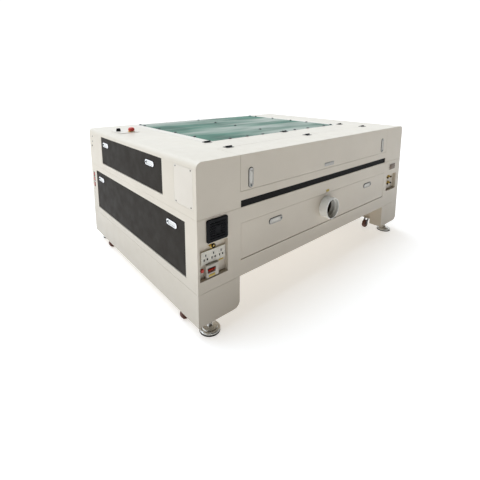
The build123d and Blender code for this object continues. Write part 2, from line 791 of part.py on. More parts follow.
with BuildPart() as breaker_toggle:
    with Locations((1151.5, 912, 440)):
        Cylinder(5, 45, rotation=(0, 90, 0))
        Cylinder(2, 52, rotation=(0, 90, 0))
        with Locations(Location((0, 0, 0), (30, 0, 0))):
            with GridLocations(24, 0, 2, 1):
                Box(21, 17, 5, align=(Align.CENTER, Align.MIN, Align.CENTER))

with BuildPart() as reset_button:
    with BuildSketch(REAR.offset(-20)):
        with Locations((-1203, 440)):
            Circle(11)
    extrude(amount=-20)
    chamfer(reset_button.faces().sort_by(Axis.Y)[-1].edges(), 2)

with BuildPart() as pipe_fittings:
    with BuildSketch(REAR.offset(-30)):
        with Locations((-1135, 586)):
            RegularPolygon(17, 6, major_radius=False)
    extrude(amount=14)
    with BuildSketch(REAR.offset(-16)):
        with Locations((-1135, 586)):
            Circle(12)
    extrude(amount=14)
    with BuildSketch(REAR.offset(-30)):
        with Locations((1046, 566)):
            with GridLocations(62, 62, 2, 2):
                RegularPolygon(13, 6, major_radius=False)
    extrude(amount=14)
    with BuildSketch(REAR.offset(-16)):
        with Locations((1046, 566)):
            with GridLocations(62, 62, 2, 2):
                Circle(8)
    extrude(amount=18)

# Plain screwed plates on the right side and at the rear
with BuildPart() as cover_plates:
    with BuildSketch(RIGHT.offset(-2.5)):
        with Locations((782, 937)):
            Rectangle(204, 238)
    extrude(amount=2.5)
    with BuildSketch(REAR):
        with Locations((1084.5, 702.5)):
            RectangleRounded(135, 61, 4)
    extrude(amount=2)

# Table on the chamber's ledges: loose blades that stand on a step of its frame
with BuildPart() as table_frame:
    with BuildSketch(Plane.XY.offset(714)):
        Rectangle(1852, 1640)
        Rectangle(1802, 1590, mode=Mode.SUBTRACT)
    extrude(amount=41)
    with BuildSketch(Plane.XY.offset(725)):
        Rectangle(1802, 1610)
    extrude(amount=30, mode=Mode.SUBTRACT)

with BuildPart() as table_blades:
    with BuildSketch(Plane.XY.offset(725)):
        with GridLocations(65, 0, 27, 1):
            Rectangle(SHEET, 1610)
    extrude(amount=40)

with BuildPart() as y_rails:
    with GridLocations(2 * RAIL_X, 0, 2, 1):
        with Locations((0, -105, SHELF_TOP)):
            Box(20, 1490, 20, align=(Align.CENTER, Align.CENTER, Align.MIN))

# Gantry: hollow beam on two carriages that straddle the rails
with BuildPart() as gantry_beam:
    with BuildSketch(Plane.YZ.offset(-915)):
        with Locations((GANTRY_Y, (BEAM_BOTTOM + BEAM_TOP) / 2)):
            Rectangle(80, 60)
            Rectangle(70, 50, mode=Mode.SUBTRACT)
    extrude(amount=1830)
    for x in (-RAIL_X, RAIL_X):
        block((x - 24, x + 24), (GANTRY_Y - 40, GANTRY_Y + 40), (868, BEAM_BOTTOM))
        block((x - 10.3, x + 10.3), (GANTRY_Y - 45, GANTRY_Y + 45), (860, 886.3), Mode.SUBTRACT)

# Laser head: carriage hooked over the beam, lens tube and nozzle
with BuildPart() as laser_head:
    with BuildSketch(Plane.YZ.offset(-50)):
        with BuildLine():
            Polyline(
                (259.7, 885),
                (259.7, 960.3),
                (340.3, 960.3),
                (340.3, 925),
                (348, 925),
                (348, 970),
                (248, 970),
                (248, 885),
                (259.7, 885),
            )
        make_face()
    extrude(amount=100)
    block((-32, 32), (205, 248), (890, 985))
    with BuildSketch(Plane.XY.offset(790)):
        with Locations((0, 226)):
            Circle(4)
    with BuildSketch(Plane.XY.offset(825)):
        with Locations((0, 226)):
            Circle(18)
    loft()
    with BuildSketch(Plane.XY.offset(825)):
        with Locations((0, 226)):
            Circle(18)
    extrude(amount=65)

# Glass laser tube in its cradles
with BuildPart() as laser_tube:
    with BuildSketch(Plane.XY):
        with BuildLine():
            Polyline((-800, 0), (-800, 18), (-755, 40), (755, 40), (800, 18), (800, 0), (-800, 0))
        make_face()
    revolve(axis=Axis.X)
laser_tube.part = laser_tube.part.moved(Location((0, 800, 990)))

with BuildPart() as tube_mounts:
    for x in (-580, 540):
        with BuildSketch(Plane.YZ.offset(x)):
            with Locations((800, 875)):
                Rectangle(120, 12)
            with Locations((800, 930)):
                Rectangle(64, 120)
            with Locations((800, 990)):
                Circle(46)
                Circle(40, mode=Mode.SUBTRACT)
        extrude(amount=40)

PIECES = {
    "right_stand": right_stand,
    "left_stand": left_stand,
    "levelling_feet": levelling_feet,
    "foot_pads": foot_pads,
    "lower_body": lower_body,
    "upper_body": upper_body,
    "slot_brushes": slot_brushes,
    "y_rails": y_rails,
    "laser_tube": laser_tube,
    "tube_mounts": tube_mounts,
    "socket_plate": socket_plate,
    "fan_guard": fan_guard,
    "cover_plates": cover_plates,
    "breaker": breaker,
    "pipe_fittings": pipe_fittings,
    "hinge_pins": hinge_pins,
    "hinge_fixed_leaves": hinge_fixed_leaves,
    "estop_collar": estop_collar,
    "control_panel": control_panel,
    "rocker_bezels": rocker_bezels,
    "pilot_lamps": pilot_lamps,
    "lid_frame": lid_frame,
    "lid_glass": lid_glass,
    "lid_hinge_leaves": lid_hinge_leaves,
    "rear_cover": rear_cover,
    "rear_hinge_leaves": rear_hinge_leaves,
    "rear_door": rear_door,
    "exhaust_collar": exhaust_collar,
    "right_upper_door": right_upper_door,
    "right_lower_door": right_lower_door,
    "left_lower_door": left_lower_door,
    "estop_button": estop_button,
    "key_switch": key_switch,
    "breaker_toggle": breaker_toggle,
    "reset_button": reset_button,
    "gantry_beam": gantry_beam,
    "laser_head": laser_head,
    "fan_rotor": fan_rotor,
}

SOLIDS = {label: piece.part for label, piece in PIECES.items()}

ACROSS = Vector(1, 0, 0)
ALONG = Vector(0, 1, 0)
UP = Vector(0, 0, 1)


def window_bars(wall, door):
    """Parts a wall into the bars under, beside and over a door's window."""
    face, x, z, width, height, inset = door
    under, rest = parted(wall, UP, z - height / 2 + LEDGE)
    beside, over = parted(rest, UP, z + height / 2 - LEDGE)
    return [*under, *beside, *over]


# The table's frame as its four welded bars
front_bar, rest = parted(table_frame.solids(), ALONG, -795)
side_bars, back_bar = parted(rest, ALONG, 795)
SOLIDS["work_table"] = Compound([*front_bar, *side_bars, *back_bar, *table_blades.solids()])

# The lower cabinet as its sheets: floor, flange, four walls, partitions and ledges
floor, rest = parted(lower_body.solids(), UP, PAN_BOTTOM + SHEET)
walls, flange = parted(rest, UP, SEAM - SHEET)
flange_front, rest = parted(flange, ALONG, -DEPTH / 2 + 30)
flange_sides, flange_back = parted(rest, ALONG, DEPTH / 2 - 30)
left_wall, rest = parted(walls, ACROSS, -WIDTH / 2 + 28)
rest, right_wall = parted(rest, ACROSS, WIDTH / 2 - 28)
front_wall, rest = parted(rest, ALONG, -DEPTH / 2 + 18)
rest, back_wall = parted(rest, ALONG, DEPTH / 2 - 35)
back_left, back_wall = parted(back_wall, ACROSS, -CHAMBER - 6)
back_middle, back_right = parted(back_wall, ACROSS, CHAMBER + 6)
left_partition, rest = parted(rest, ACROSS, -CHAMBER)
ledges, right_partition = parted(rest, ACROSS, CHAMBER)
lower_sheets = [floor, flange_front, flange_sides, flange_back]
lower_sheets += [window_bars(left_wall, LEFT_LOWER_DOOR), window_bars(right_wall, RIGHT_LOWER_DOOR)]
lower_sheets += [front_wall, back_left, window_bars(back_middle, REAR_DOOR), back_right]
lower_sheets += [left_partition, ledges, right_partition]
SOLIDS["lower_body"] = Compound([sheet for group in lower_sheets for sheet in group])

# The upper cabinet as its sheets: flange, walls, partitions, tray, shelves and deck
flange, rest = parted(upper_body.solids(), UP, SEAM + SHEET)
flange_front, flange = parted(flange, ALONG, -DEPTH / 2 + 30)
flange_sides, flange_back = parted(flange, ALONG, DEPTH / 2 - 30)
walls, deck = parted(rest, UP, 1066)
left_wall, rest = parted(walls, ACROSS, -WIDTH / 2 + 13)
rest, right_wall = parted(rest, ACROSS, WIDTH / 2 - 28)
front_wall, rest = parted(rest, ALONG, -DEPTH / 2 + 35)
rest, back_wall = parted(rest, ALONG, DEPTH / 2 - 17)
back_left, back_wall = parted(back_wall, ACROSS, -CHAMBER - 6)
back_middle, back_right = parted(back_wall, ACROSS, CHAMBER + 6)
back_middle, cover_posts = parted(back_middle, UP, SHELF_TOP + SHEET)
left_partition, rest = parted(rest, ACROSS, -CHAMBER)
rest, right_partition = parted(rest, ACROSS, CHAMBER)
shelves, tray = parted(rest, ALONG, 675)
tray_front, tray = parted(tray, ALONG, 678)
tray_left, tray = parted(tray, ACROSS, -917)
tray_floor, tray_right = parted(tray, ACROSS, 917)
deck, deck_corners = parted(deck, ALONG, 678)
deck_left, deck = parted(deck, ACROSS, -LID_HALF - GAP - SHEET)
deck, deck_right = parted(deck, ACROSS, LID_HALF + GAP + SHEET)
rim_left, deck = parted(deck, ACROSS, -LID_HALF + 18)
deck, rim_right = parted(deck, ACROSS, LID_HALF - 18)
deck_middle, deck_back = parted(deck, ALONG, LID_BACK + GAP + SHEET)
upper_sheets = [flange_front, flange_sides, flange_back, left_wall, front_wall]
upper_sheets += [window_bars(right_wall, RIGHT_UPPER_DOOR)]
upper_sheets += [back_left, back_middle, back_right, cover_posts]
upper_sheets += [left_partition, right_partition]
upper_sheets += [shelves, tray_front, tray_left, tray_floor, tray_right, deck_corners]
upper_sheets += [deck_left, deck_right, rim_left, rim_right, deck_middle, deck_back]
SOLIDS["upper_body"] = Compound([sheet for group in upper_sheets for sheet in group])

# Like pieces that move on their own: levers, rockers, caster forks and wheels
MOVING = {
    "rocker_upper": rocker(675),
    "rocker_middle": rocker(627),
    "rocker_lower": rocker(576),
}
LEVERS = {
    "lever_right_upper": RIGHT_UPPER_LOCKS,
    "lever_right_lower": RIGHT_LOWER_LOCKS,
    "lever_left_lower": LEFT_LOWER_LOCKS,
    "lever_rear_door": REAR_LOCKS,
    "lever_rear_cover": COVER_LOCKS,
}
for label, planes in LEVERS.items():
    MOVING[label + "_a"] = lock_lever(planes[0])
    MOVING[label + "_b"] = lock_lever(planes[1])
for corner, (x, y) in CASTERS.items():
    MOVING["caster_fork_" + corner] = caster_fork(x, y)
    MOVING["caster_wheel_" + corner] = caster_wheel(x, y)

for label, solid in {**SOLIDS, **MOVING}.items():
    placed = solid.moved(Location((0, CENTRING, 0)))
    placed.label = label
    export_step(placed, f"parts/{label}.step")
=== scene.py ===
import json
import math

import bmesh
import bpy
from bpy.props import FloatProperty, FloatVectorProperty, PointerProperty
from mathutils import Matrix, Vector


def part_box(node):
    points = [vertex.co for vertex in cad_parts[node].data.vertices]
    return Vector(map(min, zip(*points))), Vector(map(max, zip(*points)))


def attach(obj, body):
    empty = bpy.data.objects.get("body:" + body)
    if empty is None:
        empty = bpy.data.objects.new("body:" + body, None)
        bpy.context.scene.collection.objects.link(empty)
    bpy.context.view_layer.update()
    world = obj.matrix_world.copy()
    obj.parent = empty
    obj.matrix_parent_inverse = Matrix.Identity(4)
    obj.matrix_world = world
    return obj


bl_info = {
    "name": "Flatbed laser cutting machine",
    "version": (1, 0, 0),
    "blender": (4, 5, 0),
    "location": "3D View > Sidebar > Laser Machine",
    "description": "Finishes and small fittings for the flatbed laser cutting machine",
    "category": "Object",
}

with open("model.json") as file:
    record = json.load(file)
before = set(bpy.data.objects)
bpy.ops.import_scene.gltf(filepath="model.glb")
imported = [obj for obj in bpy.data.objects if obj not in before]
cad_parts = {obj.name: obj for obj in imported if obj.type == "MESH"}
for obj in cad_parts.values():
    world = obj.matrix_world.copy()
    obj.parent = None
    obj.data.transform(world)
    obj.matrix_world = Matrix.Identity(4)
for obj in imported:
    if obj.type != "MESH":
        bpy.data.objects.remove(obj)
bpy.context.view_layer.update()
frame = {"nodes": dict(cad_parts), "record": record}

# The upper cabinet's outer faces, in metres. Fittings are placed from the cabinet's middle, and
# MIDDLE moves them to the frame's origin, which lies under the middle of the whole machine.
HOOD_LOW, HOOD_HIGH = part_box("upper_body")
MIDDLE = Matrix.Translation((0, (HOOD_LOW.y + HOOD_HIGH.y) / 2, 0))
REAR_Y = (HOOD_HIGH.y - HOOD_LOW.y) / 2
SIDE_X = HOOD_HIGH.x
TOP_Z = HOOD_HIGH.z

RIGHTWARD, LEFTWARD = (1, 0, 0), (-1, 0, 0)
REARWARD, FRONTWARD = (0, 1, 0), (0, -1, 0)
DOWNWARD = (0, 0, -1)

# Gap between a thin plate and the sheet under it
CLEAR = 0.0001
# Edges that turn by more degrees than this are shaded sharp
SHARP_ANGLE = 35

# Painted shade on the cabinet fades out between these heights and darkens its coat by this factor
FLOOR_SHADE_HEIGHTS = (0.10, 0.62)
FLOOR_SHADE_FACTOR = 0.6

# Streaks of painted reflection on the lid's sheet: angle in degrees, stretch along them, scale and
# colour
REFLECTION_ANGLE = -49
REFLECTION_STRETCH = 0.22
REFLECTION_SCALE = 3.1
REFLECTION_COLOUR = (0.36, 0.39, 0.33, 1.0)

# Distance between the bands of a wave texture at scale 1, in metres
WAVE_PERIOD = 0.314

# Locks: name, body, plate's place, direction to the key barrel, outward direction
LOCKS = (
    ("right_upper_a", "right_upper_door_body", (1.248, -0.470, 0.998), FRONTWARD, RIGHTWARD),
    ("right_upper_b", "right_upper_door_body", (1.248, 0.360, 0.998), FRONTWARD, RIGHTWARD),
    ("right_lower_a", "right_lower_door_body", (1.248, -0.628, 0.662), FRONTWARD, RIGHTWARD),
    ("right_lower_b", "right_lower_door_body", (1.248, 0.635, 0.662), FRONTWARD, RIGHTWARD),
    ("left_lower_a", "left_lower_door_body", (-1.248, 0.635, 0.662), FRONTWARD, LEFTWARD),
    ("left_lower_b", "left_lower_door_body", (-1.248, -0.628, 0.662), FRONTWARD, LEFTWARD),
    ("rear_door_a", "rear_door_body", (0.610, 0.919, 0.604), LEFTWARD, REARWARD),
    ("rear_door_b", "rear_door_body", (-0.610, 0.919, 0.604), LEFTWARD, REARWARD),
    ("rear_cover_a", "rear_cover_body", (0.845, 0.920, 0.946), DOWNWARD, REARWARD),
    ("rear_cover_b", "rear_cover_body", (-0.845, 0.920, 0.946), DOWNWARD, REARWARD),
)

# A lock's trim: heights of its foot, wall and crown, and its slot's length, width and shift
TRIM_FOOT, TRIM_WALL, TRIM_CROWN = 0.0002, 0.0036, 0.0009
TRIM_SLOT_LENGTH, TRIM_SLOT_WIDTH, TRIM_SLOT_SHIFT = 0.0825, 0.0245, -0.002
# A lock's gasket: how far it shows round the trim, then lift and scales of each step of its rim
GASKET_MARGIN = 0.0028
GASKET_STEPS = ((0.0010, 1.0, 1.0), (0.0004, 0.99, 0.97), (0.0, 0.955, 0.86))
# A lock's key barrel: distance from the plate's middle, and profile of radius and height
KEY_DISTANCE = 0.050
KEY_PROFILE = (
    (0.0, 0.0065),
    (0.0016, 0.0065),
    (0.0020, 0.0072),
    (0.0054, 0.0072),
    (0.0062, 0.0064),
    (0.0062, 0.0052),
)

# A screw head's profile, as parts of its radius and height
SCREW_PROFILE = ((0.0, 0.55), (0.28, 0.6), (0.36, 1.0), (0.7, 0.92), (0.95, 0.5), (1.0, 0.0), (0.0, 0.0))
SCREW_SEGMENTS = 12

# Places of the screws on the lid's sheet
LID_SCREWS = (
    [(0.762, y) for y in (-0.850, -0.746, -0.444, -0.142, 0.160)]
    + [(0.048, y) for y in (-0.850, -0.521, -0.185, 0.177)]
    + [(-0.762, y) for y in (-0.850, -0.739, -0.439, -0.151, 0.081, 0.395)]
    + [(x, 0.412) for x in (0.600, 0.421, 0.244, -0.169, -0.362, -0.620)]
)
LID_SCREW_HEIGHT = 0.0075

# Right side: corner screws of the cover plate, then plugs with their size in plate screws
SIDE_PLATE_Y, SIDE_PLATE_Z = (0.700, 0.865), (0.829, 1.045)
SIDE_SCREW_HEIGHT = 0.0018
EDGE_PLUGS = ((-0.811, 1.037, 1.2), (-0.811, 0.990, 1.2), (-0.830, 0.948, 2.0))
EDGE_PLUG_HEIGHT = 0.0028

# Rear: outer face of the cover plate, its screws, and the bronze plate on it
REAR_PLATE_Y, REAR_PLATE_Z = REAR_Y + 0.002, 0.7025
REAR_SCREW_X, REAR_SCREW_SIZE, REAR_SCREW_HEIGHT = (-1.143, -1.026), 0.8, 0.0016
BRONZE_X, BRONZE_WIDTH, BRONZE_HEIGHT, BRONZE_THICKNESS = -1.0845, 0.112, 0.054, 0.0011

# Bare plate on the rear cover
BARE_X, BARE_Z = 0.009, 0.902
BARE_WIDTH, BARE_HEIGHT, BARE_THICKNESS = 0.124, 0.028, 0.0014
BARE_SCREW_X, BARE_SCREW_RADIUS, BARE_SCREW_HEIGHT = 0.056, 0.0022, 0.0009
PLATE_EDGE = 0.0004

# Plain tags: place, width and height
TAGS = (
    ((1.062, 0.8905, 0.468), 0.034, 0.016),
    ((0.013, REAR_Y, 0.684), 0.040, 0.020),
    ((1.150, 0.9185, 0.408), 0.046, 0.014),
)
TAG_THICKNESS, TAG_EDGE = 0.0008, 0.0002

# Fan guard: middle of its outer face, ring radii, a ring's section from its radius, and spokes
FAN_PLACE = (1.112, REAR_Y + 0.0119, 0.685)
FAN_RINGS = (0.022, 0.036, 0.050, 0.062)
RING_SECTION = (
    (-0.0014, -0.0002),
    (-0.0012, 0.0010),
    (0.0012, 0.0010),
    (0.0014, -0.0002),
    (-0.0014, -0.0002),
)
SPOKES, FIRST_SPOKE = 8, 22.5
SPOKE_LOW, SPOKE_HIGH, SPOKE_EDGE = (0.021, -0.0012, -0.0002), (0.063, 0.0012, 0.0010), 0.0003
FAN_SCREW_X, FAN_SCREW_Y, FAN_SCREW_DEPTH = 0.066, 0.059, 0.001
FAN_SCREW_RADIUS, FAN_SCREW_HEIGHT = 0.0032, 0.0018

# Socket plate: middle of its face, columns, slots of one socket (x, y, height) and end screws
SOCKET_PLACE = (1.125, 0.902, 0.518)
SOCKET_COLUMNS = (-0.056, 0.0, 0.056)
SOCKET_SLOTS = ((0.0, 0.014, 0.0150), (-0.012, -0.012, 0.0140), (0.012, -0.012, 0.0140))
SLOT_WIDTH, SLOT_DEPTH, SLOT_PROUD = 0.0072, 0.0036, 0.0002
SOCKET_SCREW_X, SOCKET_SCREW_RADIUS, SOCKET_SCREW_HEIGHT = 0.084, 0.003, 0.001

# Pipe fittings: mouths (x, y, z, size), and the profile of a release ring
PIPE_MOUTHS = [(-1.046 + x, 0.922, 0.566 + z, 1.0) for x in (-0.031, 0.031) for z in (-0.031, 0.031)]
PIPE_MOUTHS.append((1.135, 0.918, 0.586, 1.45))
PIPE_RING = (
    (0.0045, 0.0002),
    (0.0045, 0.0022),
    (0.0088, 0.0022),
    (0.0098, 0.0008),
    (0.0098, -0.0040),
    (0.0083, -0.0040),
    (0.0083, 0.0002),
    (0.0045, 0.0002),
)

# Breaker: middle of its face, half its frame's width and height, bar width, thickness and edge
BREAKER_PLACE = (1.1515, 0.918, 0.440)
BREAKER_ACROSS, BREAKER_UP, BREAKER_BAR = 0.0285, 0.0155, 0.0032
BREAKER_THICKNESS, BREAKER_EDGE = 0.0012, 0.0003

# Laser tube: its ends, and the profile of a mirror cap
TUBE_END = (0.800, 0.800, 0.990)
CAP_PROFILE = (
    (0.0, -0.002),
    (0.0175, -0.002),
    (0.0175, 0.012),
    (0.012, 0.014),
    (0.012, 0.024),
    (0.0, 0.024),
)
CAP_SEGMENTS = 24

# Studio: half the floor's side, colours of its glow, of the sky and of the lamp
FLOOR_HALF = 60
GLOW_COLOUR = (1, 0.965, 0.91, 1)
SKY_FRONT, SKY_REAR = (0.96, 0.98, 1.0, 1.0), (1.0, 0.70, 0.38)
SKY_TURN = (-0.15, 0.35)
LAMP_COLOUR, LAMP_ANGLE, LAMP_FROM = (0.71, 0.84, 1.0), 58, (0.24, -0.42, 1.0)

# Camera: place from the cabinet's middle, and directions of its right side and of its view
CAMERA_PLACE = (2.2069, 2.3944, 1.5191)
CAMERA_RIGHT, CAMERA_LOOK = (-0.7576, 0.6527, 0.0021), (-0.6439, -0.7468, -0.1664)


class MachineFinishes(bpy.types.PropertyGroup):
    """Colours and textures that a user would change."""

    cabinet: FloatVectorProperty(
        name="Cabinet", description="Powder coat of the cabinet", subtype="COLOR",
        default=(0.645, 0.575, 0.472), min=0, max=1,
    )
    plates: FloatVectorProperty(
        name="Plates", description="Lighter coat of the lid and cover plates", subtype="COLOR",
        default=(0.665, 0.600, 0.510), min=0, max=1,
    )
    doors: FloatVectorProperty(
        name="Doors", description="Dark coat of the side doors", subtype="COLOR",
        default=(0.021, 0.016, 0.011), min=0, max=1,
    )
    lid_sheet: FloatVectorProperty(
        name="Lid sheet", description="Tint of the lid's clear sheet", subtype="COLOR",
        default=(0.06, 0.15, 0.105), min=0, max=1,
    )
    grain: FloatProperty(
        name="Grain", description="Strength of the powder coat's orange peel",
        default=0.05, min=0, max=1,
    )
    mottle: FloatProperty(
        name="Mottle", description="How far the coat's colour wanders", default=0.035, min=0, max=1,
    )


class MachineFittings(bpy.types.PropertyGroup):
    """Sizes of the small fittings."""

    lock_length: FloatProperty(
        name="Lock length", description="Length of a lock's bright trim", default=0.127,
        unit="LENGTH",
    )
    lock_width: FloatProperty(
        name="Lock width", description="Width of a lock's bright trim", default=0.038,
        unit="LENGTH",
    )
    sheet_screw: FloatProperty(
        name="Sheet screw", description="Radius of the black screws on the lid sheet",
        default=0.0135, unit="LENGTH",
    )
    plate_screw: FloatProperty(
        name="Plate screw", description="Radius of the screws in the cover plates",
        default=0.0045, unit="LENGTH",
    )
    bristle_pitch: FloatProperty(
        name="Bristle pitch", description="Spacing of the bundles in the slot brushes",
        default=0.014, unit="LENGTH",
    )


class StudioSettings(bpy.types.PropertyGroup):
    """Light, floor and lens."""

    lens: FloatProperty(name="Lens", description="Focal length in millimetres", default=25.01)
    shift_y: FloatProperty(name="Shift", description="Upward shift of the view", default=-0.2083)
    sky: FloatProperty(name="Sky", description="Strength of the light from the front", default=1.12)
    sky_back: FloatProperty(
        name="Back sky", description="Strength of the light from behind the machine", default=0.04
    )
    overhead: FloatProperty(
        name="Overhead", description="Strength of the broad light from above", default=2.95
    )
    floor: FloatVectorProperty(
        name="Floor", description="Colour of the studio floor", subtype="COLOR",
        default=(0.60, 0.60, 0.60), min=0, max=1,
    )
    floor_glow: FloatProperty(
        name="Floor glow", description="Light that comes through the studio floor", default=0.58
    )


def new_material(name):
    """An empty node material, its tree and its shader."""
    material = bpy.data.materials.new(name)
    material.use_nodes = True
    tree = material.node_tree
    return material, tree, tree.nodes["Principled BSDF"]


def shade(colour, factor):
    """The colour, lighter or darker, with its alpha."""
    return (*[min(1.0, max(0.0, c * factor)) for c in colour], 1.0)


def object_noise(tree, scale, detail=3.0, stretch=(1, 1, 1)):
    """Noise over the object's own coordinates, stretched along its axes."""
    place = tree.nodes.new("ShaderNodeTexCoord")
    mapping = tree.nodes.new("ShaderNodeMapping")
    mapping.inputs["Scale"].default_value = stretch
    noise = tree.nodes.new("ShaderNodeTexNoise")
    noise.inputs["Scale"].default_value = scale
    noise.inputs["Detail"].default_value = detail
    tree.links.new(place.outputs["Object"], mapping.inputs["Vector"])
    tree.links.new(mapping.outputs["Vector"], noise.inputs["Vector"])
    return noise.outputs["Fac"]


def split_axes(tree, space):
    """The texture coordinates of a space, one socket for each axis."""
    place = tree.nodes.new("ShaderNodeTexCoord")
    parts = tree.nodes.new("ShaderNodeSeparateXYZ")
    tree.links.new(place.outputs[space], parts.inputs["Vector"])
    return parts.outputs


def spread(tree, value, low, high, start=0.3, stop=0.7):
    """Maps a pattern's value from start and stop to low and high."""
    ranged = tree.nodes.new("ShaderNodeMapRange")
    ranged.inputs["From Min"].default_value = start
    ranged.inputs["From Max"].default_value = stop
    ranged.inputs["To Min"].default_value = low
    ranged.inputs["To Max"].default_value = high
    tree.links.new(value, ranged.inputs["Value"])
    return ranged.outputs["Result"]


def blend_colours(tree, factor, first, second):
    """Mixes two colours, or a colour socket and a colour, by a factor."""
    mix = tree.nodes.new("ShaderNodeMix")
    mix.data_type = "RGBA"
    tree.links.new(factor, mix.inputs["Factor"])
    for name, colour in (("A", first), ("B", second)):
        target = next(s for s in mix.inputs if s.name == name and s.type == "RGBA")
        if isinstance(colour, bpy.types.NodeSocket):
            tree.links.new(colour, target)
        else:
            target.default_value = colour
    return next(s for s in mix.outputs if s.type == "RGBA")


def bump(tree, shader, value, strength, distance):
    """Raises a pattern on the surface."""
    node = tree.nodes.new("ShaderNodeBump")
    node.inputs["Strength"].default_value = strength
    node.inputs["Distance"].default_value = distance
    tree.links.new(value, node.inputs["Height"])
    tree.links.new(node.outputs["Normal"], shader.inputs["Normal"])


def coat(name, colour, roughness=0.42, mottle=0.035, grain=0.05, floor_shade=0.0, gloss=0.5):
    """Powder coat: wandering tone, orange peel and painted shade towards the floor."""
    material, tree, shader = new_material(name)
    shader.inputs["Specular IOR Level"].default_value = gloss
    wander = spread(tree, object_noise(tree, scale=2.3, detail=4.0), 0.0, 1.0)
    tone = blend_colours(tree, wander, shade(colour, 1 - mottle), shade(colour, 1 + mottle))
    # Painted shade: the coat darkens towards the floor
    if floor_shade:
        low = spread(tree, split_axes(tree, "Object")["Z"], floor_shade, 0.0, *FLOOR_SHADE_HEIGHTS)
        tone = blend_colours(tree, low, tone, shade(colour, FLOOR_SHADE_FACTOR))
    tree.links.new(tone, shader.inputs["Base Color"])
    smudge = object_noise(tree, scale=14.0, detail=5.0)
    rough = spread(tree, smudge, roughness - 0.06, roughness + 0.07)
    tree.links.new(rough, shader.inputs["Roughness"])
    bump(tree, shader, object_noise(tree, scale=900.0, detail=1.0), grain, distance=0.0004)
    return material


def plain_metal(name, colour, roughness=0.3, stretch=(1, 1, 1), scratch=0.06):
    """Metal with fine lines along one axis and smudges."""
    material, tree, shader = new_material(name)
    shader.inputs["Metallic"].default_value = 1.0
    lines = object_noise(tree, scale=350.0, stretch=stretch)
    smudge = object_noise(tree, scale=22.0, detail=4.0)
    tone = blend_colours(tree, spread(tree, smudge, 0, 1), shade(colour, 0.88), shade(colour, 1.05))
    tree.links.new(tone, shader.inputs["Base Color"])
    tree.links.new(spread(tree, lines, roughness - 0.08, roughness + 0.1), shader.inputs["Roughness"])
    bump(tree, shader, lines, scratch, distance=0.0003)
    return material


def moulded(name, colour, roughness=0.4, texture=0.08, scale=500.0, gloss=0.5):
    """Moulded plastic or rubber with a fine matt texture."""
    material, tree, shader = new_material(name)
    shader.inputs["Specular IOR Level"].default_value = gloss
    wander = spread(tree, object_noise(tree, scale=30.0), 0.0, 1.0)
    tone = blend_colours(tree, wander, shade(colour, 0.9), shade(colour, 1.1))
    tree.links.new(tone, shader.inputs["Base Color"])
    smudge = object_noise(tree, scale=60.0, detail=4.0)
    rough = spread(tree, smudge, roughness - 0.07, roughness + 0.08)
    tree.links.new(rough, shader.inputs["Roughness"])
    bump(tree, shader, object_noise(tree, scale, detail=2.0), texture, distance=0.0003)
    return material


def sheet_material(name, colour):
    """The lid's tinted sheet, with streaks of painted reflection across it."""
    material, tree, shader = new_material(name)
    shader.inputs["IOR"].default_value = 1.35
    shader.inputs["Specular IOR Level"].default_value = 0.0
    shader.inputs["Coat Weight"].default_value = 0.12
    shader.inputs["Coat Roughness"].default_value = 0.12
    shader.inputs["Transmission Weight"].default_value = 0.08
    place = tree.nodes.new("ShaderNodeTexCoord")
    mapping = tree.nodes.new("ShaderNodeMapping")
    mapping.inputs["Rotation"].default_value = (0, 0, math.radians(REFLECTION_ANGLE))
    mapping.inputs["Scale"].default_value = (REFLECTION_STRETCH, 1.0, 1.0)
    tree.links.new(place.outputs["Object"], mapping.inputs["Vector"])
    streaks = tree.nodes.new("ShaderNodeTexNoise")
    streaks.inputs["Scale"].default_value = REFLECTION_SCALE
    streaks.inputs["Detail"].default_value = 3.0
    tree.links.new(mapping.outputs["Vector"], streaks.inputs["Vector"])
    cloud = spread(tree, object_noise(tree, scale=2.2), 0.0, 1.0, start=0.35, stop=0.65)
    tint = blend_colours(tree, cloud, shade(colour, 0.75), shade(colour, 1.35))
    # Painted reflection: lighter streaks laid over the tint
    reflection = spread(tree, streaks.outputs["Fac"], 0.0, 1.0, start=0.47, stop=0.66)
    tone = blend_colours(tree, reflection, tint, REFLECTION_COLOUR)
    tree.links.new(tone, shader.inputs["Base Color"])
    tree.links.new(spread(tree, streaks.outputs["Fac"], 0.06, 0.3), shader.inputs["Roughness"])
    bump(tree, shader, object_noise(tree, scale=4.0, detail=2.0), 0.05, distance=0.002)
    return material


def tube_glass(name):
    """Clear glass with a faint blue cast and drawing lines."""
    material, tree, shader = new_material(name)
    shader.inputs["Transmission Weight"].default_value = 0.92
    shader.inputs["IOR"].default_value = 1.3
    lines = object_noise(tree, scale=40.0, detail=2.0, stretch=(0.05, 1, 1))
    tone = blend_colours(tree, spread(tree, lines, 0, 1), (0.86, 0.93, 0.95, 1), (0.95, 0.98, 1, 1))
    tree.links.new(tone, shader.inputs["Base Color"])
    tree.links.new(spread(tree, lines, 0.03, 0.09), shader.inputs["Roughness"])
    return material


def bristles(name, pitch):
    """Black brush bundles: vertical ribs along X with frayed tone."""
    material, tree, shader = new_material(name)
    place = tree.nodes.new("ShaderNodeTexCoord")
    wave = tree.nodes.new("ShaderNodeTexWave")
    wave.bands_direction = "X"
    wave.inputs["Scale"].default_value = WAVE_PERIOD / pitch
    wave.inputs["Distortion"].default_value = 1.5
    wave.inputs["Detail Scale"].default_value = 40.0
    tree.links.new(place.outputs["Object"], wave.inputs["Vector"])
    strands = object_noise(tree, scale=260.0, stretch=(1, 1, 0.03))
    tone = blend_colours(tree, strands, (0.006, 0.006, 0.006, 1), (0.022, 0.021, 0.020, 1))
    tree.links.new(tone, shader.inputs["Base Color"])
    shader.inputs["Roughness"].default_value = 0.75
    shader.inputs["Specular IOR Level"].default_value = 0.1
    bump(tree, shader, wave.outputs["Fac"], 0.5, distance=0.002)
    return material


# Materials by name: the record's slots first, then finishes that only this scene uses
MATERIALS = {}


